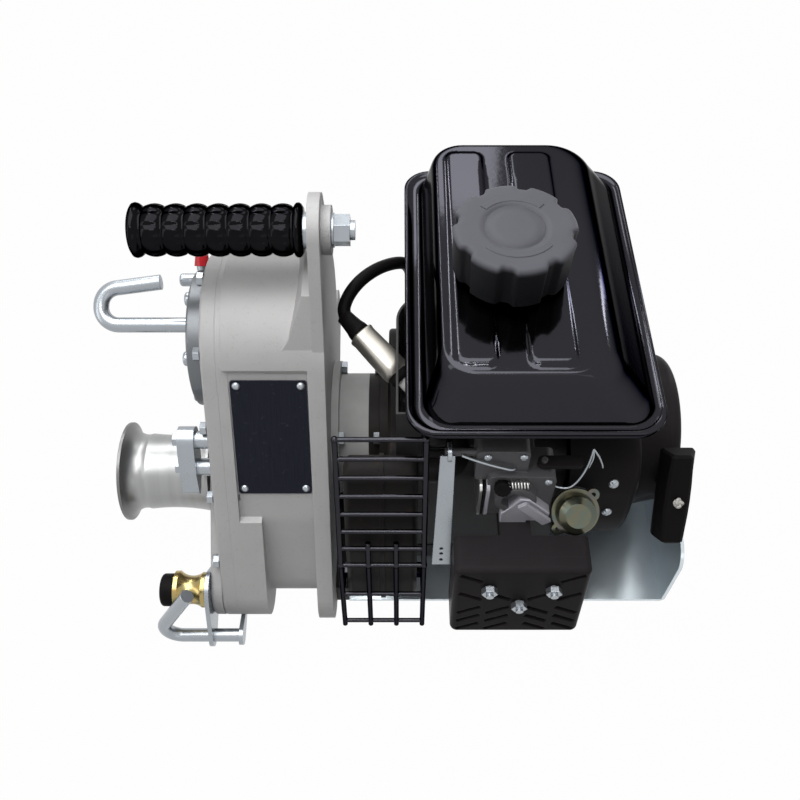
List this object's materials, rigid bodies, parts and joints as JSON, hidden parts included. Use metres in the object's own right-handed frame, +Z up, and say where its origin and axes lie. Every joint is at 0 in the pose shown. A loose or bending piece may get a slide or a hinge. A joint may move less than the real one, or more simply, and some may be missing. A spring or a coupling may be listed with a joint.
{
  "type": "capstan winch",
  "caption": "Portable petrol capstan winch: cast gear case with flared drum, rope hooks and carry grip, driven through a centrifugal clutch by a small engine with tank and recoil starter.",
  "frame": {"origin": "centre of the base sheet's bolt pattern on the ground, under the crank axis", "axes": "+X along the crank and drum axis towards the recoil starter, +Y to the rear, +Z up"},
  "size_m": [0.3992, 0.2733, 0.2945],
  "materials": {
    "cast_alloy": "as-cast, matte",
    "steel": "bright machined",
    "zinc_plate": "bright zinc plate",
    "drum_alloy": "turned, satin",
    "yellow_zinc": "yellow zinc plate",
    "dark_steel": "dark, satin",
    "black_paint": "gloss black",
    "heat_paint": "matte black heat paint",
    "black_plastic": "satin black",
    "black_rubber": "black",
    "red_plastic": "gloss red",
    "plug_shield": "pressed steel shield",
    "ceramic": "steel shell and white insulator",
    "rope": "braided white",
    "foam": "foam"
  },
  "bodies": {
    "frame": {"gearbox_housing": "cast_alloy", "gearbox_cover": "cast_alloy", "clutch_housing": "cast_alloy", "crankcase": "cast_alloy", "cylinder_head": "cast_alloy", "carburettor": "cast_alloy", "case_bolts": "steel", "engine_fasteners": "steel", "idler_axle": "steel", "shaft_bearings": "steel", "roller_pin": "steel", "nameplate_rivets": "steel", "exit_hook": "zinc_plate", "entry_bracket": "zinc_plate", "rope_guard": "zinc_plate", "base_plate": "zinc_plate", "handle_rod": "zinc_plate", "float_bowl": "yellow_zinc", "bearing_cap": "dark_steel", "fuel_tank_top": "black_paint", "fuel_tank_bottom": "black_paint", "fan_housing": "black_paint", "recoil_cover": "black_paint", "cylinder_shroud": "black_paint", "crankcase_cover": "black_paint", "nameplate": "black_paint", "muffler": "heat_paint", "muffler_guard": "heat_paint", "air_cleaner_case": "black_plastic", "air_cleaner_cover": "black_plastic", "ignition_coil": "black_plastic", "handle_grip": "black_rubber", "roller_bumper": "black_rubber", "plug_lead": "black_rubber", "nipple_cap": "red_plastic", "plug_cap": "plug_shield", "spark_plug": "ceramic", "filter_element": "foam"},
    "capstan": {"capstan_drum": "drum_alloy", "drum_shaft": "steel", "output_gear": "steel"},
    "second_idler": {"second_idler_gear": "steel"},
    "layshaft_set": {"layshaft": "steel", "layshaft_gear": "steel"},
    "first_idler": {"first_idler_gear": "steel"},
    "input": {"input_pinion": "steel", "clutch_drum": "steel"},
    "crank": {"crankshaft": "steel", "flywheel": "drum_alloy", "clutch_hub": "steel"},
    "shoe_a": {"clutch_shoe_1": "steel"},
    "shoe_b": {"clutch_shoe_2": "steel"},
    "roller": {"guide_roller": "yellow_zinc"},
    "starter": {"starter_handle": "black_plastic", "starter_rope": "rope"},
    "pulley": {"recoil_pulley": "black_plastic"},
    "tank_cap": {"fuel_cap": "black_plastic"},
    "choke": {"choke_lever": "zinc_plate"},
    "throttle": {"throttle_lever": "zinc_plate"}
  },
  "joints": [
    {"name": "input_spin", "type": "hinge", "parent": "frame", "child": "input", "pos_m": [-0.09, 0, 0.092], "axis": [1, 0, 0], "continuous": true},
    {"name": "first_idler_spin", "type": "hinge", "parent": "frame", "child": "first_idler", "pos_m": [-0.13, -0.00822, 0.12731], "axis": [1, 0, 0], "continuous": true},
    {"name": "layshaft_spin", "type": "hinge", "parent": "frame", "child": "layshaft_set", "pos_m": [-0.13, 0.02497, 0.16302], "axis": [1, 0, 0], "continuous": true},
    {"name": "second_idler_spin", "type": "hinge", "parent": "frame", "child": "second_idler", "pos_m": [-0.13, -0.00822, 0.12731], "axis": [1, 0, 0], "continuous": true},
    {"name": "drum_spin", "type": "hinge", "parent": "frame", "child": "capstan", "pos_m": [-0.2, -0.02425, 0.06949], "axis": [1, 0, 0], "continuous": true},
    {"name": "crank_spin", "type": "hinge", "parent": "frame", "child": "crank", "pos_m": [-0.09, 0, 0.092], "axis": [1, 0, 0], "continuous": true},
    {"name": "shoe_a_slide", "type": "slide", "parent": "crank", "child": "shoe_a", "axis": [0, 0, 1], "range_m": [0, 0.0008], "stiffness_N_per_m": 4000, "springref_m": -0.0006},
    {"name": "shoe_b_slide", "type": "slide", "parent": "crank", "child": "shoe_b", "axis": [0, 0, -1], "range_m": [0, 0.0008], "stiffness_N_per_m": 4000, "springref_m": -0.0006},
    {"name": "roller_spin", "type": "hinge", "parent": "frame", "child": "roller", "pos_m": [-0.198, -0.105, 0.04], "axis": [1, 0, 0], "continuous": true},
    {"name": "starter_pull", "type": "slide", "parent": "frame", "child": "starter", "axis": [0, -0.8572, 0.515], "range_m": [0, 0.45], "stiffness_N_per_m": 12, "springref_m": -0.3},
    {"name": "pulley_turn", "type": "hinge", "parent": "frame", "child": "pulley", "pos_m": [0.127, 0, 0.092], "axis": [-1, 0, 0], "range_deg": [0, 922]},
    {"name": "cap_turn", "type": "hinge", "parent": "frame", "child": "tank_cap", "pos_m": [0.0134, -0.0054, 0.27], "axis": [0, 0, 1], "range_deg": [0, 90]},
    {"name": "choke_turn", "type": "hinge", "parent": "frame", "child": "choke", "pos_m": [0.038, -0.08, 0.17], "axis": [0, 0, 1], "range_deg": [0, 60]},
    {"name": "throttle_swing", "type": "hinge", "parent": "frame", "child": "throttle", "pos_m": [-0.02, -0.08, 0.182], "axis": [-1, 0, 0], "range_deg": [0, 20]}
  ],
  "couplings": [
    {"joint": "first_idler_spin", "follows": "input_spin", "ratio": -0.34884},
    {"joint": "layshaft_spin", "follows": "input_spin", "ratio": 0.14408},
    {"joint": "second_idler_spin", "follows": "input_spin", "ratio": -0.059513},
    {"joint": "drum_spin", "follows": "input_spin", "ratio": 0.018113},
    {"joint": "shoe_b_slide", "follows": "shoe_a_slide", "ratio": 1},
    {"joint": "pulley_turn", "follows": "starter_pull", "rad_per_m": 35.714}
  ]
}
